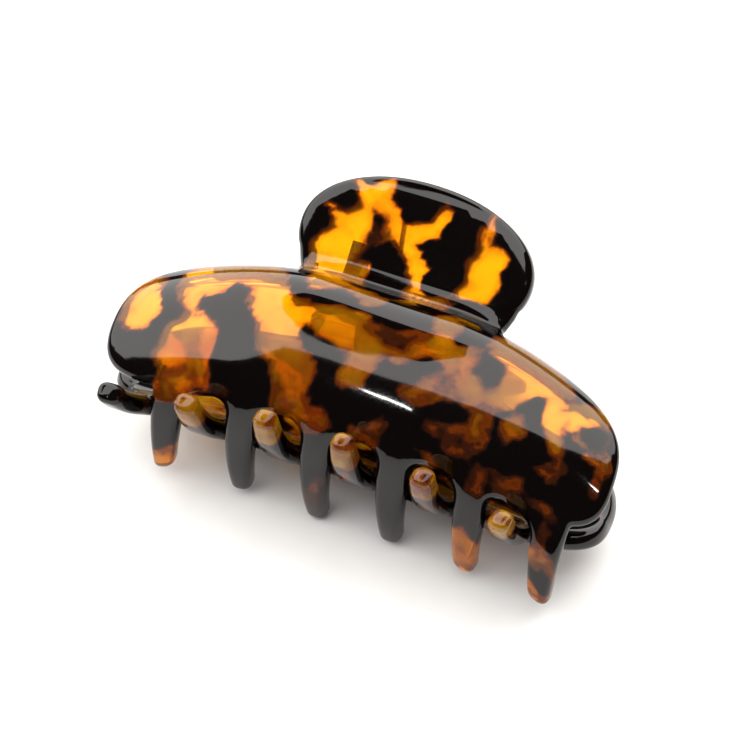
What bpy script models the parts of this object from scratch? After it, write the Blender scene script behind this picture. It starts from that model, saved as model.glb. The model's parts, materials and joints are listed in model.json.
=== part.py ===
"""Hair claw clip in tortoiseshell acetate, closed, lying on its rear jaw.

Two identical jaws, each one bent sheet with a thumb handle and six teeth, hinge on a steel
pin held in four acetate lugs. A steel torsion spring around the pin keeps the jaws shut.
The clip is drawn upright (handles up, hinge along X, front jaw towards -Y), then laid down
on its rear jaw. Lengths below are in millimetres; the finished part is in metres, +Z up.
"""
import math

import bmesh
import bpy
import numpy as np
from mathutils import Vector
from mathutils.geometry import delaunay_2d_cdt

MM = 0.001

# ---- jaw sheet, drawn flat: u runs along the clip, s runs down the sheet from the crease
SHEET = 4.0             # thickness of the acetate sheet
EDGE_ROUND = 1.5        # rounding of every sheet edge
HALF_LENGTH = 50.0      # half length of the jaw body
BODY_TOP = -0.9         # s of the body's upper edge
BODY_BOTTOM = 36.0      # s of the body's lower edge, where the teeth start
BODY_SQUARENESS = 2.8   # superellipse exponent of the rounded body ends
HANDLE_HALF_WIDTH = 23.2
HANDLE_HALF_HEIGHT = 13.5
HANDLE_CENTRE = -7.7    # s of the middle of the oval handle
HANDLE_SQUARENESS = 2.1
NECK_FILLET = 2.2       # notch rounding where handle and body meet

# ---- teeth
TEETH = 6
PITCH = 15.1
TOOTH_OFFSET = PITCH / 4.0      # lets two identical jaws mesh tooth beside tooth
TOOTH_ROOT_HALF = 3.4
TOOTH_TIP_HALF = 2.0
TIP_REACH = 60.5        # s of the tip of a tooth in the middle
TIP_FALL = 17.6         # how much shorter the teeth get at the very ends
GAP_ROUND = 3.2         # rounding at the top of each gap

# ---- bent shape of the jaw, upright clip
CREASE_Y = 13.0         # crease line in front of the middle plane
CREASE_Z = 1.5
HANDLE_FLARE = 34.6     # handle leans out from the middle plane, degrees
CREASE_ARC = 4.0        # length of the bend at the crease
# heading of the sheet at stations down the body, degrees from straight down, inwards positive
BEND_S = (2.0, 10.0, 20.0, 28.0, 36.0, 46.0, 58.0, 68.0)
BEND_DEG = (-64.0, -11.0, 29.0, 34.0, 55.0, 72.0, 93.0, 95.0)
END_DROOP = 6.8         # body ends hang lower than the middle
END_SWEEP = 10.0        # body ends sweep in towards the other jaw
SWEEP_START = 12.0      # |u| where droop and sweep begin
SWEEP_POWER = 1.7

# ---- hinge
HINGE_Z = 4.0           # height of the pin above the crease datum
PIN_RADIUS = 1.0
PIN_HALF = 12.9
BORE_RADIUS = 1.35
LUG_WIDTH = 3.2
LUG_INNER = 7.4         # |x| of the inner lug of each pair
LUG_OUTER = 11.0        # |x| of the outer lug of each pair
KNUCKLE_RADIUS = 3.4
LUG_FOOT_TOP = -6.0     # the lug's foot spans the crease, s from top to bottom
LUG_FOOT_BOTTOM = 5.0
CLEARANCE = 0.32        # gap left between neighbouring pieces

# ---- spring
WIRE_RADIUS = 0.55
COIL_RADIUS = 2.6
COIL_TURNS = 5.5
COIL_PITCH = 1.5
LEG_REACH = -13.0       # s on the handle where each leg ends

# ---- mesh fineness
ARC_SEGMENTS = 4
EDGE_STEPS = 2
RUN = 3.6


def clear_scene():
    for ob in list(bpy.data.objects):
        bpy.data.objects.remove(ob, do_unlink=True)
    for me in list(bpy.data.meshes):
        bpy.data.meshes.remove(me)


def material(name, colour, roughness, metallic=0.0):
    mat = bpy.data.materials.new(name)
    mat.use_nodes = True
    bsdf = mat.node_tree.nodes["Principled BSDF"]
    bsdf.inputs["Base Color"].default_value = (*colour, 1.0)
    bsdf.inputs["Roughness"].default_value = roughness
    bsdf.inputs["Metallic"].default_value = metallic
    return mat


# ---------------------------------------------------------------- jaw shape
def bend_table(creased):
    """Outer surface of the sheet in the middle plane: s, y, z on a fine ladder.

    With `creased` the sheet turns up into the handle; without, the body's own curve runs on
    past the crease line, as it does on the shoulders beside the neck.
    """
    s = np.linspace(-26.0, 76.0, 1021)
    half = CREASE_ARC / 2.0
    above = HANDLE_FLARE if creased else BEND_DEG[0]
    stations = (-60.0, -half) + BEND_S + (90.0,)
    degrees = (above, above) + BEND_DEG + (BEND_DEG[-1],)
    head = np.interp(s, stations, degrees)
    smooth = np.ones(21) / 21.0
    padded = np.concatenate([np.full(10, head[0]), head, np.full(10, head[-1])])
    soft = np.convolve(padded, smooth, mode="valid")
    head = np.where(s < -half - 1.0, head, soft)
    head = np.radians(head)
    dy = np.sin(head)
    dz = -np.cos(head)
    ds = s[1] - s[0]
    y = np.concatenate([[0.0], np.cumsum((dy[1:] + dy[:-1]) * 0.5 * ds)])
    z = np.concatenate([[0.0], np.cumsum((dz[1:] + dz[:-1]) * 0.5 * ds)])
    if creased:
        y += -CREASE_Y - np.interp(0.0, s, y)
        z += CREASE_Z - np.interp(0.0, s, z)
        return s, y, z
    _, other_y, other_z = bend_table(True)
    y += np.interp(6.0, s, other_y) - np.interp(6.0, s, y)
    z += np.interp(6.0, s, other_z) - np.interp(6.0, s, z)
    return s, y, z


BEND = bend_table(True)
SHOULDER = bend_table(False)


def ease(t):
    t = np.clip(t, 0.0, 1.0)
    return t * t * (3.0 - 2.0 * t)


def fade(s):
    """0 on the handle, 1 on the body: the ends sweep, the handle stays flat."""
    return ease((s + 3.4) / 2.4)


def outer_point(u, s):
    s = np.asarray(s, float)
    u = np.asarray(u, float)
    ladder, crease_y, crease_z = BEND
    _, shoulder_y, shoulder_z = SHOULDER
    beside = ease((np.abs(u) - 18.5) / 4.5) * ease((s + 3.6) / 2.0)
    y = np.interp(s, ladder, crease_y)
    y += (np.interp(s, ladder, shoulder_y) - y) * beside
    z = np.interp(s, ladder, crease_z)
    z += (np.interp(s, ladder, shoulder_z) - z) * beside
    w = np.clip((np.abs(u) - SWEEP_START) / (HALF_LENGTH - SWEEP_START), 0.0, None) ** SWEEP_POWER
    w = w * fade(s)
    return np.stack([u, y + END_SWEEP * w, z - END_DROOP * w], -1)


def sheet_point(u, s, depth):
    """A point inside the sheet: `depth` below the outer surface, along its true normal."""
    h = 0.05
    du = outer_point(np.add(u, h), s) - outer_point(np.subtract(u, h), s)
    ds = outer_point(u, np.add(s, h)) - outer_point(u, np.subtract(s, h))
    n = np.cross(du, ds)
    n /= np.linalg.norm(n, axis=-1, keepdims=True)
    return outer_point(u, s) + n * np.asarray(depth)[..., None]


def round_corners(points, radii, segments):
    """Closed polygon with each listed corner replaced by a tangent arc."""
    out = []
    n = len(points)
    for i in range(n):
        p = np.array(points[i], float)
        r = radii[i]
        if r <= 0.0:
            out.append(p)
            continue
        a = np.array(points[i - 1], float) - p
        b = np.array(points[(i + 1) % n], float) - p
        la = np.linalg.norm(a)
        lb = np.linalg.norm(b)
        a /= la
        b /= lb
        angle = math.acos(max(-1.0, min(1.0, float(a @ b))))
        reach = r / math.tan(angle / 2.0)
        limit = 0.49 * min(la, lb)
        if reach > limit:
            reach = limit
            r = reach * math.tan(angle / 2.0)
        mid = a + b
        mid /= np.linalg.norm(mid)
        centre = p + mid * (r / math.sin(angle / 2.0))
        start = p + a * reach - centre
        end = p + b * reach - centre
        a0 = math.atan2(start[1], start[0])
        a1 = math.atan2(end[1], end[0])
        turn = (a1 - a0 + math.pi) % (2.0 * math.pi) - math.pi
        for k in range(segments + 1):
            t = a0 + turn * k / segments
            out.append(centre + r * np.array([math.cos(t), math.sin(t)]))
    return np.array(out)


def body_edge(u, lower):
    """s of the body's upper or lower edge at u."""
    middle = 0.5 * (BODY_TOP + BODY_BOTTOM)
    t = max(0.0, 1.0 - abs(u / HALF_LENGTH) ** BODY_SQUARENESS) ** (1.0 / BODY_SQUARENESS)
    edge = BODY_BOTTOM if lower else BODY_TOP
    return middle + (edge - middle) * t


def body_end(side, u_from, u_to):
    """Body outline around one end, from the upper edge at |u_from| to the lower edge at |u_to|."""
    middle = 0.5 * (BODY_TOP + BODY_BOTTOM)
    half = BODY_BOTTOM - middle
    power = 2.0 / BODY_SQUARENESS
    t0 = math.acos((u_from / HALF_LENGTH) ** (1.0 / power))
    t1 = math.acos((u_to / HALF_LENGTH) ** (1.0 / power))
    points = []
    for t in np.linspace(-t0, t1, 17):
        u = HALF_LENGTH * math.cos(t) ** power
        s = half * abs(math.sin(t)) ** power * (1.0 if t > 0 else -1.0)
        points.append((side * u, middle + s))
    return points


def handle_arc(s_low):
    """Oval handle outline from its left side at s_low, over the top, to the right side."""
    power = 2.0 / HANDLE_SQUARENESS
    dip = (s_low - HANDLE_CENTRE) / HANDLE_HALF_HEIGHT
    t0 = math.asin(dip ** (1.0 / power))
    points = []
    for t in np.linspace(-t0, math.pi + t0, 34):
        c = math.cos(t)
        d = math.sin(t)
        u = -HANDLE_HALF_WIDTH * math.copysign(abs(c) ** power, c)
        s = HANDLE_CENTRE - HANDLE_HALF_HEIGHT * math.copysign(abs(d) ** power, d)
        points.append((u, s))
    return points


def tooth_positions():
    return [TOOTH_OFFSET + (i - 0.5 * (TEETH - 1)) * PITCH for i in range(TEETH)]


def tooth_tip(u):
    return TIP_REACH - TIP_FALL * (u / HALF_LENGTH) ** 2


def flat_outline():
    """The jaw's outline as cut from flat sheet: handle, neck notches, body, teeth."""
    points = []
    radii = []

    def add(u, s, r=0.0):
        points.append((u, s))
        radii.append(r)

    for u, s in handle_arc(BODY_TOP - 1.8):
        add(u, s)
    neck = abs(points[0][0]) - 0.9
    add(neck, BODY_TOP, NECK_FILLET)
    teeth = tooth_positions()
    for u, s in body_end(1.0, neck + 5.0, teeth[-1] + TOOTH_ROOT_HALF + 1.2):
        add(u, s)
    for i in range(TEETH - 1, -1, -1):
        u = teeth[i]
        right = 0.5 * (teeth[i] + teeth[i + 1]) if i < TEETH - 1 else u + TOOTH_ROOT_HALF
        left = 0.5 * (teeth[i] + teeth[i - 1]) if i > 0 else u - TOOTH_ROOT_HALF
        add(u + TOOTH_ROOT_HALF, body_edge(right, True), GAP_ROUND if i < TEETH - 1 else 1.6)
        tip = tooth_tip(u)
        add(u + TOOTH_TIP_HALF, tip, TOOTH_TIP_HALF * 0.93)
        add(u - TOOTH_TIP_HALF, tip, TOOTH_TIP_HALF * 0.93)
        add(u - TOOTH_ROOT_HALF, body_edge(left, True), GAP_ROUND if i > 0 else 1.6)
    ring = body_end(-1.0, neck + 5.0, abs(teeth[0] - TOOTH_ROOT_HALF) + 1.2)
    for u, s in reversed(ring):
        add(u, s)
    add(-neck, BODY_TOP, NECK_FILLET)
    return round_corners(points, radii, ARC_SEGMENTS)


def even_out(loop, longest, shortest):
    """Drop crowded points and split long runs, so the sheet bends smoothly."""
    kept = [loop[0]]
    for p in loop[1:]:
        if np.linalg.norm(p - kept[-1]) > shortest:
            kept.append(p)
    if np.linalg.norm(kept[0] - kept[-1]) < shortest:
        kept.pop()
    out = []
    for i, p in enumerate(kept):
        q = kept[(i + 1) % len(kept)]
        n = max(1, int(math.ceil(np.linalg.norm(q - p) / longest)))
        for k in range(n):
            out.append(p + (q - p) * k / n)
    return np.array(out)


def inward(loop):
    """Unit normals pointing into the material."""
    d = np.roll(loop, -1, axis=0) - np.roll(loop, 1, axis=0)
    n = np.stack([-d[:, 1], d[:, 0]], -1)
    n /= np.linalg.norm(n, axis=1, keepdims=True)
    area = 0.5 * np.sum(loop[:, 0] * np.roll(loop[:, 1], -1) - loop[:, 1] * np.roll(loop[:, 0], -1))
    return n if area > 0 else -n


def inside(points, loop):
    """Even-odd test of many points against a closed loop."""
    result = np.zeros(len(points), bool)
    a = loop
    b = np.roll(loop, -1, axis=0)
    for p, q in zip(a, b):
        if p[1] == q[1]:
            continue
        cross = (p[1] > points[:, 1]) != (q[1] > points[:, 1])
        x = p[0] + (points[:, 1] - p[1]) * (q[0] - p[0]) / (q[1] - p[1])
        result ^= cross & (points[:, 0] < x)
    return result


def fill_points(loop):
    """Points inside the outline, in rows close together where the sheet bends tightly."""
    grid = []
    step = 4.0
    for s in (-2.4, -1.2, 0.0, 1.2, 2.4, 5.0):
        for u in np.arange(-50.0, 50.1, step):
            grid.append((u, s))
    for k, s in enumerate(np.arange(8.0, 62.0, 3.1)):
        for u in np.arange(-50.0, 50.1, step):
            grid.append((u + (0.0 if k % 2 else 0.5 * step), s))
    grid = np.array(grid)
    grid = grid[inside(grid, loop)]
    near = np.sqrt(((grid[:, None, :] - loop[None, :, :]) ** 2).sum(-1)).min(1)
    return grid[near > 1.4]


def jaw_mesh():
    """Closed mesh of one jaw in the upright clip, as (vertices, faces, s of each vertex)."""
    edge = even_out(flat_outline(), RUN, 0.35)
    normal = inward(edge)
    loops = []
    for k in range(EDGE_STEPS + 1):
        t = 0.5 * math.pi * k / EDGE_STEPS
        loops.append((EDGE_ROUND * (1.0 - math.sin(t)), EDGE_ROUND * (1.0 - math.cos(t))))
    loops += [(inset, SHEET - depth) for inset, depth in reversed(loops)]
    rim = edge + normal * EDGE_ROUND
    fill = fill_points(rim)
    flat = np.concatenate([rim, fill])
    count = len(rim)
    edges = [(i, (i + 1) % count) for i in range(count)]
    result = delaunay_2d_cdt([Vector(p) for p in flat], edges, [], 1, 1e-5)
    flat = np.array([tuple(p) for p in result[0]])
    triangles = [tuple(f) for f in result[2]]
    origin = {}
    for new, old in enumerate(result[3]):
        for index in old:
            origin[index] = new
    verts = []
    stations = []
    for depth in (0.0, SHEET):
        verts.append(sheet_point(flat[:, 0], flat[:, 1], np.full(len(flat), depth)))
        stations.append(flat[:, 1])
    faces = []
    for a, b, c in triangles:
        pa, pb, pc = flat[a], flat[b], flat[c]
        area = (pb[0] - pa[0]) * (pc[1] - pa[1]) - (pb[1] - pa[1]) * (pc[0] - pa[0])
        tri = (a, b, c) if area > 0 else (a, c, b)
        faces.append(tri)
        faces.append(tuple(len(flat) + i for i in reversed(tri)))
    ring_ids = [[origin[i] for i in range(count)]]
    base = 2 * len(flat)
    for inset, depth in loops[1:-1]:
        ring = edge + normal * inset
        verts.append(sheet_point(ring[:, 0], ring[:, 1], np.full(count, depth)))
        stations.append(ring[:, 1])
        ring_ids.append([base + i for i in range(count)])
        base += count
    ring_ids.append([len(flat) + origin[i] for i in range(count)])
    for a, b in zip(ring_ids[:-1], ring_ids[1:]):
        for i in range(count):
            j = (i + 1) % count
            faces.append((a[i], b[i], b[j], a[j]))
    return np.concatenate(verts), faces, np.concatenate(stations)


# ---------------------------------------------------------------- small parts
def lug_profile():
    """Side view of a front lug: a foot that straddles the crease, a knuckle on the pin."""
    s = np.linspace(LUG_FOOT_TOP, LUG_FOOT_BOTTOM, 12)
    foot = sheet_point(np.zeros(12), s, np.full(12, SHEET + CLEARANCE))[:, 1:]
    centre = np.array([0.0, HINGE_Z])
    low = tangent_angle(foot[-1], centre, -1.0)
    high = tangent_angle(foot[0], centre, 1.0)
    turn = (high - low) % (2.0 * math.pi)
    arc = [low + turn * k / 14.0 for k in range(15)]
    knuckle = [centre + KNUCKLE_RADIUS * np.array([math.cos(t), math.sin(t)]) for t in arc]
    return [tuple(p) for p in foot] + [tuple(p) for p in knuckle]


def tangent_angle(point, centre, side):
    """Angle on the knuckle circle where the line from `point` touches it."""
    d = point - centre
    reach = np.linalg.norm(d)
    return math.atan2(d[1], d[0]) - side * math.acos(KNUCKLE_RADIUS / reach)


def bored_lug(profile, x0, x1):
    """Flat-sided lug of the given side view, with the pin bore through its knuckle."""
    bm = bmesh.new()
    centre = np.array([0.0, HINGE_Z])
    n = 20
    circle = [centre + BORE_RADIUS * np.array([math.cos(t), math.sin(t)])
              for t in np.linspace(0.0, 2.0 * math.pi, n, endpoint=False)]
    flat = [Vector(p) for p in profile] + [Vector(p) for p in circle]
    m = len(profile)
    edges = [(i, (i + 1) % m) for i in range(m)]
    edges += [(m + i, m + (i + 1) % n) for i in range(n)]
    result = delaunay_2d_cdt(flat, edges, [], 2, 1e-6)
    spots = [tuple(p) for p in result[0]]
    ends = []
    for x in (x0, x1):
        ends.append([bm.verts.new((x, y, z)) for y, z in spots])
    for f in result[2]:
        mid = np.mean([spots[i] for i in f], axis=0)
        if np.linalg.norm(mid - centre) < BORE_RADIUS * 0.98:
            continue
        bm.faces.new([ends[0][i] for i in f])
        bm.faces.new([ends[1][i] for i in reversed(f)])
    lookup = {}
    for new, old in enumerate(result[3]):
        for index in old:
            lookup[index] = new
    for a, b in edges:
        i = lookup[a]
        j = lookup[b]
        bm.faces.new((ends[0][i], ends[0][j], ends[1][j], ends[1][i]))
    bmesh.ops.recalc_face_normals(bm, faces=bm.faces)
    return bm


def turned(profile, segments):
    """Solid of revolution about X from (x, radius) pairs; both ends close on the axis."""
    bm = bmesh.new()
    rings = []
    for x, r in profile:
        if r == 0.0:
            rings.append([bm.verts.new((x, 0.0, HINGE_Z))])
            continue
        ring = []
        for k in range(segments):
            t = 2.0 * math.pi * k / segments
            ring.append(bm.verts.new((x, r * math.cos(t), HINGE_Z + r * math.sin(t))))
        rings.append(ring)
    for a, b in zip(rings[:-1], rings[1:]):
        for k in range(segments):
            j = (k + 1) % segments
            if len(a) == 1:
                bm.faces.new((a[0], b[k], b[j]))
            elif len(b) == 1:
                bm.faces.new((a[k], b[0], a[j]))
            else:
                bm.faces.new((a[k], b[k], b[j], a[j]))
    bmesh.ops.recalc_face_normals(bm, faces=bm.faces)
    return bm


def spring_path():
    """Centre line of the spring: leg on the front handle, coil, leg on the rear handle."""
    half = 0.5 * COIL_TURNS * COIL_PITCH
    rest = sheet_point(0.0, np.array(LEG_REACH), np.array(SHEET + CLEARANCE + WIRE_RADIUS))
    target = np.array([rest[1], rest[2] - HINGE_Z])
    reach = np.linalg.norm(target)
    touch = math.atan2(target[1], target[0]) - math.acos(COIL_RADIUS / reach)
    start = COIL_RADIUS * np.array([math.cos(touch), math.sin(touch)])
    leg = [(-half, *(target + (start - target) * t)) for t in (0.0, 0.3, 0.6, 0.9)]
    mirror = math.pi - touch
    turn = 2.0 * math.pi * math.floor(COIL_TURNS) + (mirror - touch) % (2.0 * math.pi)
    steps = int(round(turn / (2.0 * math.pi) * 18))
    coil = []
    for k in range(steps + 1):
        f = k / steps
        t = touch + turn * f
        coil.append((-half + 2.0 * half * f, COIL_RADIUS * math.cos(t), COIL_RADIUS * math.sin(t)))
    other = [(half, -y, z) for _, y, z in reversed(leg)]
    path = np.array(leg + coil + other)
    path[:, 2] += HINGE_Z
    return path


def tube(path, radius, segments):
    """Round wire along a path, closed at both ends."""
    bm = bmesh.new()
    tangents = np.gradient(path, axis=0)
    tangents /= np.linalg.norm(tangents, axis=1, keepdims=True)
    side = np.cross(tangents[0], (1.0, 0.0, 0.0))
    side /= np.linalg.norm(side)
    rings = []
    for p, t in zip(path, tangents):
        side = side - t * (side @ t)
        side /= np.linalg.norm(side)
        up = np.cross(t, side)
        ring = []
        for k in range(segments):
            a = 2.0 * math.pi * k / segments
            ring.append(bm.verts.new(p + radius * (math.cos(a) * side + math.sin(a) * up)))
        rings.append(ring)
    for a, b in zip(rings[:-1], rings[1:]):
        for k in range(segments):
            j = (k + 1) % segments
            bm.faces.new((a[k], a[j], b[j], b[k]))
    bm.faces.new(list(reversed(rings[0])))
    bm.faces.new(rings[-1])
    bmesh.ops.recalc_face_normals(bm, faces=bm.faces)
    return bm


# ---------------------------------------------------------------- laying the clip down
def about_z(points):
    """Half turn about the upright axis: front part to rear part."""
    return points * np.array([-1.0, -1.0, 1.0])


def tilt(points, degrees):
    """Lean the upright clip back until it lies on its rear jaw."""
    t = math.radians(degrees)
    y = points[:, 1] * math.cos(t) + points[:, 2] * math.sin(t)
    z = -points[:, 1] * math.sin(t) + points[:, 2] * math.cos(t)
    return np.stack([points[:, 0], y, z], -1)


def resting_tilt(rear, stations):
    """The lean at which the rear handle's tip and the rear body both touch the table."""
    handle = rear[stations < -4.0]
    body = rear[stations > 4.0]
    low, high = 60.0, 100.0
    for _ in range(50):
        mid = 0.5 * (low + high)
        if tilt(handle, mid)[:, 2].min() > tilt(body, mid)[:, 2].min():
            low = mid
        else:
            high = mid
    return 0.5 * (low + high)


def bm_points(bm):
    bm.verts.ensure_lookup_table()
    return np.array([v.co[:] for v in bm.verts])


def to_object(name, points, faces, mat, origin):
    mesh = bpy.data.meshes.new(name)
    local = (points - origin) * MM
    mesh.from_pydata([tuple(p) for p in local], [], [tuple(f) for f in faces])
    mesh.validate()
    mesh.update()
    ob = bpy.data.objects.new(name, mesh)
    ob.location = Vector(origin * MM)
    bpy.context.scene.collection.objects.link(ob)
    mesh.materials.append(mat)
    bm = bmesh.new()
    bm.from_mesh(mesh)
    bmesh.ops.remove_doubles(bm, verts=bm.verts, dist=1e-7)
    bmesh.ops.recalc_face_normals(bm, faces=bm.faces)
    if bm.calc_volume(signed=True) < 0.0:
        bmesh.ops.reverse_faces(bm, faces=bm.faces)
    bm.to_mesh(mesh)
    bm.free()
    return ob


def faces_of(bm):
    bm.verts.index_update()
    return [tuple(v.index for v in f.verts) for f in bm.faces]


def build():
    clear_scene()
    jaw, jaw_faces, stations = jaw_mesh()
    pieces = []
    pieces.append(("front_jaw", jaw, jaw_faces, "acetate_front_jaw", (0.42, 0.20, 0.05), 0.15, 0.0))
    pieces.append(("rear_jaw", about_z(jaw), jaw_faces, "acetate_rear_jaw", (0.40, 0.19, 0.05), 0.15, 0.0))
    profile = lug_profile()
    half = 0.5 * LUG_WIDTH
    for side, x in (("left", -LUG_OUTER), ("right", LUG_INNER)):
        bm = bored_lug(profile, x - half, x + half)
        points = bm_points(bm)
        faces = faces_of(bm)
        bm.free()
        other = "right" if side == "left" else "left"
        pieces.append(("front_lug_" + side, points, faces, "acetate_front_lug_" + side,
                       (0.34, 0.17, 0.05), 0.25, 0.0))
        pieces.append(("rear_lug_" + other, about_z(points), faces, "acetate_rear_lug_" + other,
                       (0.34, 0.17, 0.05), 0.25, 0.0))
    end = PIN_HALF
    pin = turned([(-end, 0.0), (-end, 0.6), (-end + 0.3, PIN_RADIUS), (end - 0.3, PIN_RADIUS),
                  (end, 0.6), (end, 0.0)], 20)
    pieces.append(("hinge_pin", bm_points(pin), faces_of(pin), "steel_pin", (0.62, 0.62, 0.60), 0.3, 1.0))
    wire = tube(spring_path(), WIRE_RADIUS, 8)
    pieces.append(("torsion_spring", bm_points(wire), faces_of(wire), "steel_spring",
                   (0.55, 0.55, 0.55), 0.35, 1.0))
    pin.free()
    wire.free()
    lean = resting_tilt(about_z(jaw), stations)
    laid = [(p[0], tilt(p[1], lean)) + p[2:] for p in pieces]
    cloud = np.concatenate([p[1] for p in laid])
    low = cloud.min(axis=0)
    high = cloud.max(axis=0)
    shift = np.array([-(low[0] + high[0]) / 2.0, -(low[1] + high[1]) / 2.0, -low[2]])
    hinge = tilt(np.array([[0.0, 0.0, HINGE_Z]]), lean)[0] + shift
    for name, points, faces, mat_name, colour, rough, metal in laid:
        to_object(name, points + shift, faces, material(mat_name, colour, rough, metal), hinge)
    return lean, hinge


build()
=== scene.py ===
"""Looks of the tortoiseshell hair claw clip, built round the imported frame.

The jaws, lugs, pin and spring are remade here as fine meshes on the CAD's own shape, with
polished acetate and steel materials, on a white table under one large soft light with
a dark card before it and two small lamps.
Lengths are in millimetres unless a name says otherwise; meshes are made in metres.
"""

import json
import math

import bmesh
import bpy
import numpy as np
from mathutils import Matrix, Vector
from mathutils.geometry import delaunay_2d_cdt


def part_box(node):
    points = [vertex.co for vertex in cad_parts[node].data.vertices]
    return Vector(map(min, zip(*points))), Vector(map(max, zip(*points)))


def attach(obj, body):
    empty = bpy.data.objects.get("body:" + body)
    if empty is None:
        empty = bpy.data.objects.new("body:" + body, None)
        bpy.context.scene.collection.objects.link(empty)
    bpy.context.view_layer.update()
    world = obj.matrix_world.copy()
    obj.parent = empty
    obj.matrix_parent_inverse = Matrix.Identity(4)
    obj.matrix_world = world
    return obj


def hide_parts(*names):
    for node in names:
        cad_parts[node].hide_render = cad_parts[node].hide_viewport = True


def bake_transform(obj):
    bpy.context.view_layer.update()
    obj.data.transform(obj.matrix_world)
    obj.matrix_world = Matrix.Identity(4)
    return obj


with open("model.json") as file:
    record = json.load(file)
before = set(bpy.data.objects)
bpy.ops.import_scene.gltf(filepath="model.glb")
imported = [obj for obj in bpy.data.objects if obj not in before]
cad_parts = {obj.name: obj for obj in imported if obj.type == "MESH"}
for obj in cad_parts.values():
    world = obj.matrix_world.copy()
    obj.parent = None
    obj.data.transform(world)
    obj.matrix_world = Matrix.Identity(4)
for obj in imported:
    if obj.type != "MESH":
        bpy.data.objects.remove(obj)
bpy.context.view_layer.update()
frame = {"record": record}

MM = 0.001

# ---- jaw sheet, drawn flat: u runs along the clip, s runs down the sheet from the crease
SHEET = 4.0
EDGE_ROUND = 1.5
HALF_LENGTH = 50.0
BODY_TOP = -0.9
BODY_BOTTOM = 36.0
BODY_SQUARENESS = 2.8
HANDLE_HALF_WIDTH = 23.2
HANDLE_HALF_HEIGHT = 13.5
HANDLE_CENTRE = -7.7
HANDLE_SQUARENESS = 2.1
NECK_FILLET = 2.2
TEETH = 6
PITCH = 15.1
TOOTH_OFFSET = PITCH / 4.0
TOOTH_ROOT_HALF = 3.4
TOOTH_TIP_HALF = 2.0
TIP_REACH = 60.5
TIP_FALL = 17.6
TIP_ROUND = 0.93        # corner radius of a tip, as a share of its half width
GAP_ROUND = 3.2
END_ROUND = 1.6         # fillet where each end tooth meets the body's end
ROOT_CLEAR = 1.2        # how far beyond an end tooth's root the body's end begins
NECK_RISE = 1.8         # the handle's oval stops this far above the body's top
NECK_INSET = 0.9
NECK_REACH = 5.0        # the body's outline starts this far out from the neck
HANDLE_POINTS = 110
END_POINTS = 65

# ---- bent shape of the jaw, upright clip
CREASE_Y = 13.0
CREASE_Z = 1.5
HANDLE_FLARE = 34.6
CREASE_ARC = 4.0
BEND_S = (2.0, 10.0, 20.0, 28.0, 36.0, 46.0, 58.0, 68.0)
BEND_DEG = (-64.0, -11.0, 29.0, 34.0, 55.0, 72.0, 93.0, 95.0)
LADDER = (-26.0, 76.0, 1021)    # first s, last s and number of points of the bend's table
SMOOTHED = 21           # how many of them are averaged to round the bend
SHOULDER_JOIN = 6.0     # s where the shoulders' bend meets the creased middle
SHOULDER_U = 18.5       # the shoulders begin here, beside the handle
SHOULDER_BLEND = 4.5
SHOULDER_S = -3.6
SHOULDER_FADE = 2.0
END_DROOP = 6.8
END_SWEEP = 10.0
SWEEP_START = 12.0
SWEEP_POWER = 1.7
SWEEP_S = -3.4
SWEEP_FADE = 2.4

# ---- hinge and spring
HINGE_Z = 4.0
PIN_RADIUS = 1.0
PIN_DOME = 0.5
PIN_END = 0.35          # radius of the flat left on each domed end
BORE_RADIUS = 1.1
LUG_WIDTH = 3.2
LUG_INNER = 7.4
LUG_OUTER = 11.0
KNUCKLE_RADIUS = 3.4
LUG_FOOT_TOP = -6.0
LUG_FOOT_BOTTOM = 5.0
LUG_ROUND = 0.3
FOOT_SINK = 0.05        # how far each lug's foot goes into the sheet
GLUE_SPREAD = 0.9       # glue squeezed out round each lug's foot
GLUE_HEIGHT = 0.6
WIRE_RADIUS = 0.55
COIL_RADIUS = 2.6
COIL_TURNS = 5.5
COIL_PITCH = 1.5
LEG_REACH = -13.0
LEG_SHARE = 0.95        # the straight leg ends this far along its way to the coil
WIRE_ENDS = ((0.55, 0.30), (0.88, 0.14))    # radius and overhang of the rounded ends, in wire radii

# ---- fineness of the shown meshes
GRID = 1.25
GRID_S = (-22.0, 62.0)  # the grid of points inside the sheet covers these s and u
GRID_U = (-50.0, 50.1)
EDGE_CLEAR = 0.55       # nearest a grid point comes to an edge, in grid steps
SHORTEST = 0.25         # points of an outline closer than this are dropped
EDGE_STEPS = 5
ARC_SEGMENTS = 9
FOOT_POINTS = 28
GLUE_HEIGHTS = (0.25, 0.6, 1.0)
KNUCKLE_SEGMENTS = 40
LUG_STEPS = 3
BORE_SEGMENTS = 40
BORE_CLEAR = 0.5        # nearest a grid point comes to the bore
PIN_SEGMENTS = 48
DOME_POINTS = 7
LEG_POINTS = 20
COIL_SEGMENTS = 40
WIRE_SEGMENTS = 16
SMOOTH_ANGLE = math.radians(50.0)

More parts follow.
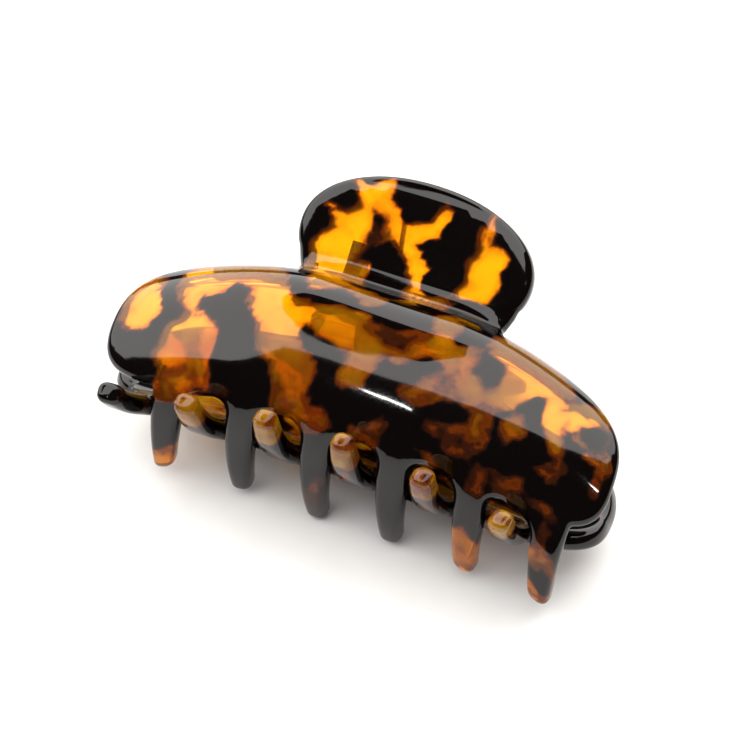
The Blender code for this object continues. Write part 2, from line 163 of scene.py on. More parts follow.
# ---- tortoiseshell layout: (tone, u, s, half length, half height, turn in degrees),
# painted in order; tone 0 is clear amber and 1 is black
HANDLE_SPOTS = (
    (0, -14.0, -10.2, 5.2, 6.6, 12), (0, -9.4, -15.4, 2.4, 3.8, 20), (0, -15.5, -4.5, 3.4, 2.2, 0),
    (1, -17.9, -15.2, 3.8, 1.6, 20), (1, -19.8, -9.0, 1.9, 1.7, 0), (0.55, -7.2, -9.0, 2.2, 3.8, -10),
    (0, -3.4, -11.2, 1.2, 4.6, -42), (0, 0.8, -5.4, 1.6, 3.4, -40), (1, -4.6, -5.8, 1.8, 0.9, -15),
    (0, 3.1, -14.8, 1.5, 2.8, 12), (0, 0.4, -12.4, 2.2, 1.1, 10), (1, -1.2, -15.6, 2.2, 1.8, 0),
    (0.2, 12.2, -13.6, 0.6, 3.0, 18), (0, 14.6, -8.2, 2.7, 4.0, 14), (0, 11.8, -4.8, 2.4, 2.2, 0),
    (0, 5.2, -0.6, 3.6, 2.6, 0), (0, -11.0, -0.5, 7.0, 3.0, 0), (1, -4.6, -1.5, 2.2, 3.0, 0),
    (1, 7.2, -4.6, 3.0, 2.4, 0),
)
BODY_SPOTS = (
    (0, -45.0, 13.8, 3.4, 5.8, -22), (0, -37.0, 8.0, 2.0, 7.6, -14), (0, -29.5, 9.0, 6.6, 5.6, 8),
    (0, -22.0, 12.0, 3.6, 6.0, -30), (1, -25.6, 15.6, 2.4, 3.4, -30), (0, -16.4, 20.0, 3.6, 8.6, -34),
    (0, -32.6, 25.2, 5.0, 6.8, -8), (0.1, -31.4, 31.4, 5.8, 4.4, 0), (0.1, -10.4, 29.5, 3.8, 6.2, -18),
    (0.15, -6.4, 34.2, 4.2, 2.2, 0), (0, -11.6, 6.8, 3.6, 2.6, 0), (0.1, -3.6, 8.6, 2.6, 2.0, 0),
    (0, -3.0, 16.2, 11.0, 2.6, 4), (0.5, 6.0, 14.8, 5.0, 1.6, 0), (0, 15.6, 14.4, 4.4, 1.9, -12),
    (0.1, 0.4, 22.4, 2.8, 4.2, 10), (0.32, 5.4, 32.0, 3.2, 3.4, -12), (1, 2.6, 28.6, 2.6, 2.0, 0),
    (0, 12.6, 9.2, 1.8, 2.6, 0), (0, 24.6, 7.6, 3.8, 3.8, 6), (0, 32.0, 8.0, 4.6, 4.2, -8),
    (0, 28.0, 15.0, 1.9, 5.4, 26), (0, 36.2, 13.6, 1.5, 5.4, -22), (0, 42.6, 11.8, 3.6, 4.8, -34),
    (1, 44.3, 12.6, 1.4, 1.8, 30), (0.3, 14.0, 22.6, 4.4, 1.8, -18), (0.2, 20.0, 18.6, 3.6, 2.2, 20),
    (0.34, 24.8, 25.0, 1.5, 3.6, 20), (0.36, 21.0, 29.0, 4.4, 1.5, 16), (0.4, 30.2, 30.6, 5.6, 1.7, -8),
    (0.42, 40.4, 31.4, 1.6, 2.6, 16), (0.4, 38.0, 23.4, 2.0, 0.9, -30), (0.3, 31.0, 20.6, 1.2, 2.4, 30),
    (0.4, 26.8, 34.8, 2.4, 1.3, 0), (0.4, 17.0, 33.6, 2.0, 1.0, 20), (0.42, 46.6, 17.8, 1.0, 2.8, -8),
)
TOOTH_SPOTS = (
    (0, -33.9, 49.0, 3.0, 4.4, 0), (0.7, -33.4, 44.4, 1.6, 1.0, 30), (0.5, -18.6, 54.4, 1.8, 1.4, 0),
    (0.42, -3.0, 52.0, 2.0, 4.8, 8), (0.6, 12.0, 56.6, 2.0, 1.2, 0), (0, 26.6, 51.0, 3.4, 7.6, 0),
    (0, 41.2, 42.6, 3.4, 6.4, 0), (1, 40.8, 42.2, 2.2, 0.8, 22), (0, 43.0, 47.0, 2.0, 2.4, 0),
)
REAR_TOOTH_SPOTS = (
    (0, -34.0, 50.0, 3.6, 3.4, 0), (0, -18.9, 55.0, 3.6, 3.4, 0), (0, -3.8, 57.0, 3.6, 4.2, 0),
    (0, 11.3, 56.0, 3.6, 3.6, 0), (0, 26.4, 53.0, 3.6, 3.8, 0), (0.55, 26.4, 46.0, 1.6, 2.0, 20),
    (0.3, -3.8, 49.0, 1.6, 2.4, -20), (0.3, 11.3, 48.0, 1.4, 2.2, 15), (0.3, -18.9, 47.0, 1.5, 2.2, 0),
)
SPOT_SOFT = 1.0         # width of the fuzzy edge of every patch
SPOT_GROW = 0.75        # how far every patch spreads past its stated size
PAINTED_LOW_SHADE = 0.28        # painted shade: how much darker the amber is painted on the lower body and the teeth
# s where the painted shade begins, and how far on it reaches full strength
PAINTED_SHADE_START = 22.0
PAINTED_SHADE_FADE = 10.0
# waves that push the patches about: size, radians per mm along u and along s, start
WANDER_U = ((0.6, 0.31, 0.52, 0.7), (0.35, -0.84, 1.13, 2.1))
WANDER_S = ((0.6, 0.47, -0.38, 1.9), (0.35, 1.21, 0.77, 0.4))

# ---- acetate and steel
FRONT_AMBER = (0.97, 0.41, 0.003)
# painted shade: the rear jaw is the same acetate as the front, painted a duller, more olive amber for where
# it lies under the front jaw
REAR_SHADED_AMBER = (0.72, 0.44, 0.004)
LUG_AMBER = (0.85, 0.42, 0.003)
FRONT_CLEAR = 0.84      # share of the light that the clear amber lets through
REAR_CLEAR = 0.6
LUG_CLEAR = 0.7
AMBER_TURNING = (0.84, 0.62, 0.7)   # share of the amber's colour left where it starts to brown
BROWN = (0.24, 0.045, 0.002)
DARK_BROWN = (0.035, 0.008, 0.002)
BLACK = (0.002, 0.001, 0.001)
DRIFT = (0.90, 0.74, 0.60)  # tint that comes and goes over the whole sheet
ACETATE_IOR = 1.46
PIN_STEEL = (0.62, 0.61, 0.59)
SPRING_STEEL = (0.55, 0.54, 0.52)
DULL_STEEL = 0.62       # brightness of the dull spots, as a share of the steel's

# ---- camera, as the clip is seen lying on the table
VIEW_AZIMUTH = 23.46
VIEW_ELEVATION = 48.2
VIEW_DISTANCE = 374.4
LENS = 94.85
SENSOR = 36.0
SHIFT = (-0.0337, -0.0489)
CLIP_START = 10.0

# ---- table
TABLE_HALF = 3000.0
TABLE_DROP = 0.1
TABLE_SHADES = ((0.3, (0.84, 0.835, 0.83)), (0.7, (0.87, 0.865, 0.86)))

# ---- light: the ceiling's outline as (x, y) per unit of height above the table
CEILING_HEIGHT = 2000.0
CEILING_EDGE = ((-4.0, -1.15), (-0.85, -1.12), (-0.52, -0.86), (-0.1, -0.82), (0.1, -0.74),
                (0.33, -0.47), (0.59, 0.09), (1.3, 1.3), (1.3, 4.0), (-4.0, 4.0))
CEILING_RADIANCE = 3.6
CEILING_COLOUR = (1.0, 0.985, 0.96)
ROOM_COLOUR = (1.0, 0.99, 0.98)
ROOM_SEEN = 0.95        # brightness of the room seen directly or through the acetate
ROOM_FILL = 0.3         # what it gives to matt surfaces
ROOM_MIRRORED = 0.05    # what polished surfaces mirror of it
CARD_HEIGHT = 1900.0
CARD_COLOUR = (0.004, 0.004, 0.004)
# where on the front jaw, as flat (u, s), the dark card's reflection lies
CARD_OUTLINE = ((-17.5, 13.6), (-14.0, 12.2), (-6.0, 11.9), (4.0, 12.2), (12.0, 12.3), (18.0, 11.8),
                (18.2, 14.2), (15.0, 16.2), (9.0, 18.2), (1.0, 19.7), (-6.0, 20.1), (-12.0, 19.2),
                (-16.0, 16.8))
# small lamps: flat (u, s) of their reflection, width, height, radiance
GLINTS = ((9.0, 26.4, 30.0, 3.0, 110.0), (47.0, 20.0, 14.0, 10.0, 90.0))
GLINT_DISTANCE = 500.0


# ---------------------------------------------------------------- shape of the jaws
def bend_table(creased):
    """Outer surface of the sheet in the middle plane, on a fine ladder of s."""
    s = np.linspace(*LADDER)
    half = CREASE_ARC / 2.0
    above = HANDLE_FLARE if creased else BEND_DEG[0]
    head = np.interp(s, (-half,) + BEND_S, (above,) + BEND_DEG)
    padded = np.pad(head, SMOOTHED // 2, mode="edge")
    soft = np.convolve(padded, np.ones(SMOOTHED) / SMOOTHED, mode="valid")
    on_handle = s < -half - 1.0
    head = np.radians(np.where(on_handle, head, soft))
    dy = np.sin(head)
    dz = -np.cos(head)
    ds = s[1] - s[0]
    y = np.concatenate([[0.0], np.cumsum((dy[1:] + dy[:-1]) * 0.5 * ds)])
    z = np.concatenate([[0.0], np.cumsum((dz[1:] + dz[:-1]) * 0.5 * ds)])
    if creased:
        y += -CREASE_Y - np.interp(0.0, s, y)
        z += CREASE_Z - np.interp(0.0, s, z)
        return s, y, z
    _, other_y, other_z = bend_table(True)
    y += np.interp(SHOULDER_JOIN, s, other_y) - np.interp(SHOULDER_JOIN, s, y)
    z += np.interp(SHOULDER_JOIN, s, other_z) - np.interp(SHOULDER_JOIN, s, z)
    return s, y, z


BEND = bend_table(True)
SHOULDER = bend_table(False)


def ease(t):
    """Smooth step from 0 to 1 while t goes from 0 to 1."""
    t = np.clip(t, 0.0, 1.0)
    return t * t * (3.0 - 2.0 * t)


def outer_point(u, s):
    """A point on the sheet's outer surface, in the upright clip."""
    s = np.asarray(s, float)
    u = np.asarray(u, float)
    ladder, crease_y, crease_z = BEND
    _, shoulder_y, shoulder_z = SHOULDER
    beside = ease((np.abs(u) - SHOULDER_U) / SHOULDER_BLEND) * ease((s - SHOULDER_S) / SHOULDER_FADE)
    y = np.interp(s, ladder, crease_y)
    y += (np.interp(s, ladder, shoulder_y) - y) * beside
    z = np.interp(s, ladder, crease_z)
    z += (np.interp(s, ladder, shoulder_z) - z) * beside
    w = np.clip((np.abs(u) - SWEEP_START) / (HALF_LENGTH - SWEEP_START), 0.0, None) ** SWEEP_POWER
    w = w * ease((s - SWEEP_S) / SWEEP_FADE)
    return np.stack([u, y + END_SWEEP * w, z - END_DROOP * w], -1)


def sheet_point(u, s, depth):
    """A point in the sheet, `depth` below its outer surface."""
    step = 0.05
    du = outer_point(np.add(u, step), s) - outer_point(np.subtract(u, step), s)
    ds = outer_point(u, np.add(s, step)) - outer_point(u, np.subtract(s, step))
    n = np.cross(du, ds)
    n /= np.linalg.norm(n, axis=-1, keepdims=True)
    return outer_point(u, s) + n * np.asarray(depth)[..., None]


def round_corners(points, radii, segments):
    """Closed polygon with each corner that has a radius replaced by a tangent arc."""
    out = []
    n = len(points)
    for i in range(n):
        p = np.array(points[i], float)
        r = radii[i]
        if r <= 0.0:
            out.append(p)
            continue
        a = np.array(points[i - 1], float) - p
        b = np.array(points[(i + 1) % n], float) - p
        la = np.linalg.norm(a)
        lb = np.linalg.norm(b)
        a /= la
        b /= lb
        angle = math.acos(max(-1.0, min(1.0, float(a @ b))))
        reach = r / math.tan(angle / 2.0)
        limit = 0.49 * min(la, lb)
        if reach > limit:
            reach = limit
            r = reach * math.tan(angle / 2.0)
        mid = a + b
        mid /= np.linalg.norm(mid)
        centre = p + mid * (r / math.sin(angle / 2.0))
        start = p + a * reach - centre
        end = p + b * reach - centre
        a0 = math.atan2(start[1], start[0])
        a1 = math.atan2(end[1], end[0])
        turn = (a1 - a0 + math.pi) % (2.0 * math.pi) - math.pi
        for k in range(segments + 1):
            t = a0 + turn * k / segments
            out.append(centre + r * np.array([math.cos(t), math.sin(t)]))
    return np.array(out)


def body_edge(u):
    """s of the body's lower edge at u."""
    middle = 0.5 * (BODY_TOP + BODY_BOTTOM)
    t = max(0.0, 1.0 - abs(u / HALF_LENGTH) ** BODY_SQUARENESS) ** (1.0 / BODY_SQUARENESS)
    return middle + (BODY_BOTTOM - middle) * t


def body_end(side, u_from, u_to):
    """Body outline round one end, from the upper edge at u_from to the lower edge at u_to."""
    middle = 0.5 * (BODY_TOP + BODY_BOTTOM)
    half = BODY_BOTTOM - middle
    power = 2.0 / BODY_SQUARENESS
    t0 = math.acos((u_from / HALF_LENGTH) ** (1.0 / power))
    t1 = math.acos((u_to / HALF_LENGTH) ** (1.0 / power))
    points = []
    for t in np.linspace(-t0, t1, END_POINTS):
        u = HALF_LENGTH * math.cos(t) ** power
        s = half * abs(math.sin(t)) ** power * (1.0 if t > 0 else -1.0)
        points.append((side * u, middle + s))
    return points


def handle_arc(s_low):
    """Oval handle outline from its left side at s_low, over the top, to the right side."""
    power = 2.0 / HANDLE_SQUARENESS
    dip = (s_low - HANDLE_CENTRE) / HANDLE_HALF_HEIGHT
    t0 = math.asin(dip ** (1.0 / power))
    points = []
    for t in np.linspace(-t0, math.pi + t0, HANDLE_POINTS):
        c = math.cos(t)
        d = math.sin(t)
        u = -HANDLE_HALF_WIDTH * math.copysign(abs(c) ** power, c)
        s = HANDLE_CENTRE - HANDLE_HALF_HEIGHT * math.copysign(abs(d) ** power, d)
        points.append((u, s))
    return points


def tooth_positions():
    """u of the middle of each tooth, from left to right."""
    return [TOOTH_OFFSET + (i - 0.5 * (TEETH - 1)) * PITCH for i in range(TEETH)]


def flat_outline():
    """The jaw's outline as cut from flat sheet: handle, neck notches, body, teeth."""
    points = []
    radii = []

    def add(u, s, r=0.0):
        points.append((u, s))
        radii.append(r)

    for u, s in handle_arc(BODY_TOP - NECK_RISE):
        add(u, s)
    neck = abs(points[0][0]) - NECK_INSET
    add(neck, BODY_TOP, NECK_FILLET)
    teeth = tooth_positions()
    for u, s in body_end(1.0, neck + NECK_REACH, teeth[-1] + TOOTH_ROOT_HALF + ROOT_CLEAR):
        add(u, s)
    for i in range(TEETH - 1, -1, -1):
        u = teeth[i]
        right = 0.5 * (teeth[i] + teeth[i + 1]) if i < TEETH - 1 else u + TOOTH_ROOT_HALF
        left = 0.5 * (teeth[i] + teeth[i - 1]) if i > 0 else u - TOOTH_ROOT_HALF
        tip = TIP_REACH - TIP_FALL * (u / HALF_LENGTH) ** 2
        add(u + TOOTH_ROOT_HALF, body_edge(right), GAP_ROUND if i < TEETH - 1 else END_ROUND)
        add(u + TOOTH_TIP_HALF, tip, TOOTH_TIP_HALF * TIP_ROUND)
        add(u - TOOTH_TIP_HALF, tip, TOOTH_TIP_HALF * TIP_ROUND)
        add(u - TOOTH_ROOT_HALF, body_edge(left), GAP_ROUND if i > 0 else END_ROUND)
    end = body_end(-1.0, neck + NECK_REACH, abs(teeth[0] - TOOTH_ROOT_HALF) + ROOT_CLEAR)
    for u, s in reversed(end):
        add(u, s)
    add(-neck, BODY_TOP, NECK_FILLET)
    return round_corners(points, radii, ARC_SEGMENTS)


def even_out(loop, longest, shortest):
    """Drop crowded points and split long runs."""
    kept = [loop[0]]
    for p in loop[1:]:
        if np.linalg.norm(p - kept[-1]) > shortest:
            kept.append(p)
    if np.linalg.norm(kept[0] - kept[-1]) < shortest:
        kept.pop()
    out = []
    for i, p in enumerate(kept):
        q = kept[(i + 1) % len(kept)]
        n = max(1, int(math.ceil(np.linalg.norm(q - p) / longest)))
        for k in range(n):
            out.append(p + (q - p) * k / n)
    return np.array(out)


def inward(loop):
    """Unit normals pointing into the material."""
    d = np.roll(loop, -1, axis=0) - np.roll(loop, 1, axis=0)
    n = np.stack([-d[:, 1], d[:, 0]], -1)
    n /= np.linalg.norm(n, axis=1, keepdims=True)
    area = 0.5 * np.sum(loop[:, 0] * np.roll(loop[:, 1], -1) - loop[:, 1] * np.roll(loop[:, 0], -1))
    return n if area > 0 else -n


def inside(points, loop):
    """Even-odd test of many points against a closed loop."""
    result = np.zeros(len(points), bool)
    for p, q in zip(loop, np.roll(loop, -1, axis=0)):
        if p[1] == q[1]:
            continue
        cross = (p[1] > points[:, 1]) != (q[1] > points[:, 1])
        x = p[0] + (points[:, 1] - p[1]) * (q[0] - p[0]) / (q[1] - p[1])
        result ^= cross & (points[:, 0] < x)
    return result


def fill_points(loop):
    """A square grid of points inside the outline, a little away from its edge."""
    s, u = np.meshgrid(np.arange(*GRID_S, GRID), np.arange(*GRID_U, GRID), indexing="ij")
    grid = np.stack([u.ravel(), s.ravel()], -1)
    grid = grid[inside(grid, loop)]
    near = np.full(len(grid), np.inf)
    for p in loop:
        near = np.minimum(near, ((grid - p) ** 2).sum(1))
    return grid[near > (EDGE_CLEAR * GRID) ** 2]


def edge_rings(radius, steps, thick):
    """(inset, depth) of each ring round a rounded edge, from one face of a sheet to the other."""
    turns = [0.5 * math.pi * k / steps for k in range(steps + 1)]
    near = [(radius * (1.0 - math.sin(t)), radius * (1.0 - math.cos(t))) for t in turns]
    return near + [(inset, thick - depth) for inset, depth in reversed(near)]


def loop_edges(start, count):
    """Index pairs of a closed loop of `count` points."""
    return [(start + i, start + (i + 1) % count) for i in range(count)]


def jaw_mesh():
    """One jaw in the upright clip: vertices, faces, and the flat (u, s) of each vertex."""
    edge = even_out(flat_outline(), GRID, SHORTEST)
    normal = inward(edge)
    rim = edge + normal * EDGE_ROUND
    flat = np.concatenate([rim, fill_points(rim)])
    count = len(rim)
    result = delaunay_2d_cdt([Vector(p) for p in flat], loop_edges(0, count), [], 1, 1e-5)
    flat = np.array([tuple(p) for p in result[0]])
    origin = {}
    for new, old in enumerate(result[3]):
        for index in old:
            origin[index] = new
    verts = []
    spots = []
    for depth in (0.0, SHEET):
        verts.append(sheet_point(flat[:, 0], flat[:, 1], np.full(len(flat), depth)))
        spots.append(flat)
    faces = []
    for a, b, c in result[2]:
        pa, pb, pc = flat[a], flat[b], flat[c]
        area = (pb[0] - pa[0]) * (pc[1] - pa[1]) - (pb[1] - pa[1]) * (pc[0] - pa[0])
        tri = (a, b, c) if area > 0 else (a, c, b)
        faces.append(tri)
        faces.append(tuple(len(flat) + i for i in reversed(tri)))
    ring_ids = [[origin[i] for i in range(count)]]
    base = 2 * len(flat)
    for inset, depth in edge_rings(EDGE_ROUND, EDGE_STEPS, SHEET)[1:-1]:
        ring = edge + normal * inset
        verts.append(sheet_point(ring[:, 0], ring[:, 1], np.full(count, depth)))
        spots.append(ring)
        ring_ids.append([base + i for i in range(count)])
        base += count
    ring_ids.append([len(flat) + origin[i] for i in range(count)])
    for a, b in zip(ring_ids[:-1], ring_ids[1:]):
        for i in range(count):
            j = (i + 1) % count
            faces.append((a[i], b[i], b[j], a[j]))
    return np.concatenate(verts), faces, np.concatenate(spots)


# ---------------------------------------------------------------- from the upright clip to the table
def about_z(points):
    """Half turn about the upright axis: front part to rear part."""
    return points * np.array([-1.0, -1.0, 1.0])


def lean_angle():
    """How far the clip leans back, from the direction its thumb pad faces in the frame."""
    pad = next(m for m in frame["record"]["mounts"] if m["name"] == "thumb_pad")
    flare = math.radians(HANDLE_FLARE)
    upright = math.atan2(-math.sin(flare), -math.cos(flare))
    return upright - math.atan2(pad["axis"][2], pad["axis"][1])


LEAN = lean_angle()
LOW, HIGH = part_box("hinge_pin")
HINGE = np.array((LOW + HIGH) / 2) / MM
PIN_HALF = (HIGH.x - LOW.x) / 2 / MM


def laid(points):
    """Upright clip to the clip lying in the frame."""
    y = points[..., 1] * math.cos(LEAN) + (points[..., 2] - HINGE_Z) * math.sin(LEAN)
    z = -points[..., 1] * math.sin(LEAN) + (points[..., 2] - HINGE_Z) * math.cos(LEAN)
    return np.stack([points[..., 0], y, z], -1) + HINGE


def add_mesh(name, points, faces, mat, smooth_angle=None):
    """A closed mesh piece from points in the lying clip, shaded smooth."""
    mesh = bpy.data.meshes.new(name)
    mesh.from_pydata([tuple(p) for p in points * MM], [], [tuple(f) for f in faces])
    mesh.validate()
    bm = bmesh.new()
    bm.from_mesh(mesh)
    bmesh.ops.recalc_face_normals(bm, faces=bm.faces)
    if bm.calc_volume(signed=True) < 0.0:
        bmesh.ops.reverse_faces(bm, faces=bm.faces)
    for face in bm.faces:
        face.smooth = True
    if smooth_angle is not None:
        for edge in bm.edges:
            edge.smooth = edge.calc_face_angle(0.0) < smooth_angle
    bm.to_mesh(mesh)
    bm.free()
    mesh.materials.append(mat)
    ob = bpy.data.objects.new(name, mesh)
    bpy.context.scene.collection.objects.link(ob)
    return ob


# ---------------------------------------------------------------- tortoiseshell layout
def wander(u, s):
    """Push the patches about by up to a millimetre, so none is an ellipse."""
    du = sum(size * np.sin(a * u + b * s + start) for size, a, b, start in WANDER_U)
    ds = sum(size * np.sin(a * u + b * s + start) for size, a, b, start in WANDER_S)
    return u + du, s + ds


def darkness(u, s, spots):
    """0 on clear amber and 1 on black, at each flat (u, s): the tortoiseshell patches, plus painted shade on
    the lower body and the teeth.
    """
    u, s = wander(u, s)
    tone = np.ones(len(u))
    for level, cu, cs, long, high, turn in spots:
        t = math.radians(turn)
        du = (u - cu) * math.cos(t) + (s - cs) * math.sin(t)
        ds = -(u - cu) * math.sin(t) + (s - cs) * math.cos(t)
        reach = np.sqrt((du / long) ** 2 + (ds / high) ** 2)
        gap = (reach - 1.0) * min(long, high) - SPOT_GROW
        cover = ease(0.5 - gap / (2.0 * SPOT_SOFT))
        tone += (level - tone) * cover
    # painted shade: darken the amber towards the lower body and the teeth
    return tone + (1.0 - tone) * PAINTED_LOW_SHADE * ease((s - PAINTED_SHADE_START) / PAINTED_SHADE_FADE)


def paint(ob, values):
    """Store one number per vertex for the material to read."""
    layer = ob.data.attributes.new("darkness", "FLOAT", "POINT")
    layer.data.foreach_set("value", np.asarray(values, np.float32))


# ---------------------------------------------------------------- materials
def new_material(name):
    """A material with its nodes, its links and its main shader."""
    mat = bpy.data.materials.new(name)
    mat.use_nodes = True
    nodes = mat.node_tree.nodes
    return mat, nodes, mat.node_tree.links, nodes["Principled BSDF"]


def maths(nodes, links, operation, a, b):
    """A sum on two sockets or numbers."""
    node = nodes.new("ShaderNodeMath")
    node.operation = operation
    for socket, value in zip(node.inputs, (a, b)):
        if isinstance(value, (int, float)):
            socket.default_value = value
        else:
            links.new(value, socket)
    return node.outputs[0]


def noise(nodes, links, vector, scale, detail, roughness=0.55):
    """Cloudy noise, about 0.5."""
    node = nodes.new("ShaderNodeTexNoise")
    node.inputs["Scale"].default_value = scale
    node.inputs["Detail"].default_value = detail
    node.inputs["Roughness"].default_value = roughness
    links.new(vector, node.inputs["Vector"])
    return node.outputs["Fac"]


def spread(nodes, links, value, low, high, to_low, to_high):
    """Smooth change from to_low to to_high while value goes from low to high."""
    node = nodes.new("ShaderNodeMapRange")
    node.interpolation_type = "SMOOTHSTEP"
    for key, number in (("From Min", low), ("From Max", high), ("To Min", to_low), ("To Max", to_high)):
        node.inputs[key].default_value = number
    links.new(value, node.inputs["Value"])
    return node.outputs["Result"]


def ramp(nodes, links, value, stops):
    """Colour looked up by value among (place, colour) stops."""
    node = nodes.new("ShaderNodeValToRGB")
    node.color_ramp.interpolation = "EASE"
    while len(node.color_ramp.elements) < len(stops):
        node.color_ramp.elements.new(0.5)
    for element, (place, colour) in zip(node.color_ramp.elements, stops):
        element.position = place
        element.color = (*colour, 1.0)
    links.new(value, node.inputs["Fac"])
    return node.outputs["Color"]


def object_coordinates(nodes, links, offset):
    """Coordinates fixed to the piece, shifted so that no two pieces have the same noise."""
    where = nodes.new("ShaderNodeTexCoord")
    move = nodes.new("ShaderNodeMapping")
    move.inputs["Location"].default_value = offset
    links.new(where.outputs["Object"], move.inputs["Vector"])
    return move.outputs["Vector"]


def acetate(name, offset, amber, clear, painted=True):
    """Polished tortoiseshell: clear amber, red-brown where it turns, black patches."""
    mat, nodes, links, bsdf = new_material(name)
    where = object_coordinates(nodes, links, offset)
    if painted:
        layer = nodes.new("ShaderNodeAttribute")
        layer.attribute_name = "darkness"
        base = layer.outputs["Fac"]
    else:
        clouds = noise(nodes, links, where, scale=60.0, detail=1.0)
        base = spread(nodes, links, clouds, 0.3, 0.7, 0.1, 0.6)
    broad = maths(nodes, links, "SUBTRACT", noise(nodes, links, where, 300.0, 2.0, roughness=0.45), 0.5)
    fine = maths(nodes, links, "SUBTRACT", noise(nodes, links, where, 1300.0, 2.0), 0.5)
    tone = maths(nodes, links, "ADD", base, maths(nodes, links, "MULTIPLY", broad, 0.8))
    tone = maths(nodes, links, "ADD", tone, maths(nodes, links, "MULTIPLY", fine, 0.1))
    turning = tuple(c * k for c, k in zip(amber, AMBER_TURNING))
    stops = ((0.00, amber), (0.24, turning), (0.42, BROWN), (0.54, DARK_BROWN), (0.70, BLACK))
    colour = ramp(nodes, links, tone, stops)
    drift = spread(nodes, links, noise(nodes, links, where, 75.0, 2.0), 0.35, 0.65, 0.0, 1.0)
    mix = nodes.new("ShaderNodeMix")
    mix.data_type = "RGBA"
    mix.blend_type = "MULTIPLY"
    links.new(drift, mix.inputs["Factor"])
    links.new(colour, mix.inputs["A"])
    mix.inputs["B"].default_value = (*DRIFT, 1.0)
    links.new(mix.outputs["Result"], bsdf.inputs["Base Color"])
    links.new(spread(nodes, links, tone, 0.34, 0.60, clear, 0.0), bsdf.inputs["Transmission Weight"])
    polish = noise(nodes, links, where, 2200.0, 2.0)
    links.new(spread(nodes, links, polish, 0.3, 0.7, 0.03, 0.06), bsdf.inputs["Roughness"])
    bump = nodes.new("ShaderNodeBump")
    bump.inputs["Strength"].default_value = 0.05
    bump.inputs["Distance"].default_value = 0.0004
    links.new(noise(nodes, links, where, 95.0, 2.0), bump.inputs["Height"])
    links.new(bump.outputs["Normal"], bsdf.inputs["Normal"])
    bsdf.inputs["IOR"].default_value = ACETATE_IOR
    return mat


def steel(name, colour, rough_low, rough_high, along):
    """Drawn steel: bright, with fine streaks along the wire or rod and a few dull spots."""
    mat, nodes, links, bsdf = new_material(name)
    where = object_coordinates(nodes, links, (0.0, 0.0, 0.0))
    stretch = nodes.new("ShaderNodeMapping")
    stretch.inputs["Scale"].default_value = along
    links.new(where, stretch.inputs["Vector"])
    streaks = noise(nodes, links, stretch.outputs["Vector"], 2500.0, 4.0)
    dull = noise(nodes, links, where, 420.0, 3.0)
    links.new(spread(nodes, links, streaks, 0.3, 0.7, rough_low, rough_high), bsdf.inputs["Roughness"])
    dark = tuple(DULL_STEEL * c for c in colour)
    links.new(ramp(nodes, links, dull, ((0.35, dark), (0.62, colour))), bsdf.inputs["Base Color"])
    bump = nodes.new("ShaderNodeBump")
    bump.inputs["Strength"].default_value = 0.15
    bump.inputs["Distance"].default_value = 0.00005
    links.new(streaks, bump.inputs["Height"])
    links.new(bump.outputs["Normal"], bsdf.inputs["Normal"])
    bsdf.inputs["Metallic"].default_value = 1.0
    return mat


# ---------------------------------------------------------------- pieces
def make_jaws():
    """The front jaw and its twin, turned half round, with its patches mirrored to match."""
    points, faces, flat = jaw_mesh()
    u, s = flat.T
    front_spots = HANDLE_SPOTS + BODY_SPOTS + TOOTH_SPOTS
    front_look = acetate("front acetate", (0.0, 0.0, 0.0), FRONT_AMBER, FRONT_CLEAR)
    front = add_mesh("front_jaw_sheet", laid(points), faces, front_look)
    paint(front, darkness(u, s, front_spots))
    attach(front, "front_half")
    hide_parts("front_jaw")
    # the rear jaw's acetate uses the amber painted in shade, duller and more olive than the front's
    rear_look = acetate("rear acetate", (0.3, 0.1, 0.2), REAR_SHADED_AMBER, REAR_CLEAR)
    rear = add_mesh("rear_jaw_sheet", laid(about_z(points)), faces, rear_look)
    mirrored = tuple((t, -cu, cs, a, b, -turn) for t, cu, cs, a, b, turn in HANDLE_SPOTS + BODY_SPOTS)
    paint(rear, darkness(u, s, mirrored + REAR_TOOTH_SPOTS))
    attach(rear, "rear_half")
    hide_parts("rear_jaw")


def tangent_angle(point, centre, side):
    """Angle on the knuckle circle where the line from `point` touches it."""
    d = point - centre
    return math.atan2(d[1], d[0]) - side * math.acos(KNUCKLE_RADIUS / np.linalg.norm(d))


def lug_profile():
    """Side view of a front lug: glued foot across the crease, knuckle round the pin."""
    s = np.linspace(LUG_FOOT_TOP - GLUE_SPREAD, LUG_FOOT_BOTTOM + GLUE_SPREAD, FOOT_POINTS)
    foot = sheet_point(np.zeros_like(s), s, np.full(len(s), SHEET - FOOT_SINK))[:, 1:]
    above = []
    for end, way in ((LUG_FOOT_BOTTOM, 1.0), (LUG_FOOT_TOP, -1.0)):
        rise = [(end + way * GLUE_SPREAD * (1.0 - t) ** 2, SHEET + GLUE_HEIGHT * t) for t in GLUE_HEIGHTS]
        above.append([sheet_point(0.0, np.array(a), np.array(b))[1:] for a, b in rise])
    centre = np.array([0.0, HINGE_Z])
    low = tangent_angle(above[0][-1], centre, -1.0)
    high = tangent_angle(above[1][-1], centre, 1.0)
    turn = (high - low) % (2.0 * math.pi)
    arc = [low + turn * k / KNUCKLE_SEGMENTS for k in range(KNUCKLE_SEGMENTS + 1)]
    knuckle = [centre + KNUCKLE_RADIUS * np.array([math.cos(t), math.sin(t)]) for t in arc]
    return [tuple(p) for p in foot] + above[0] + knuckle + list(reversed(above[1]))


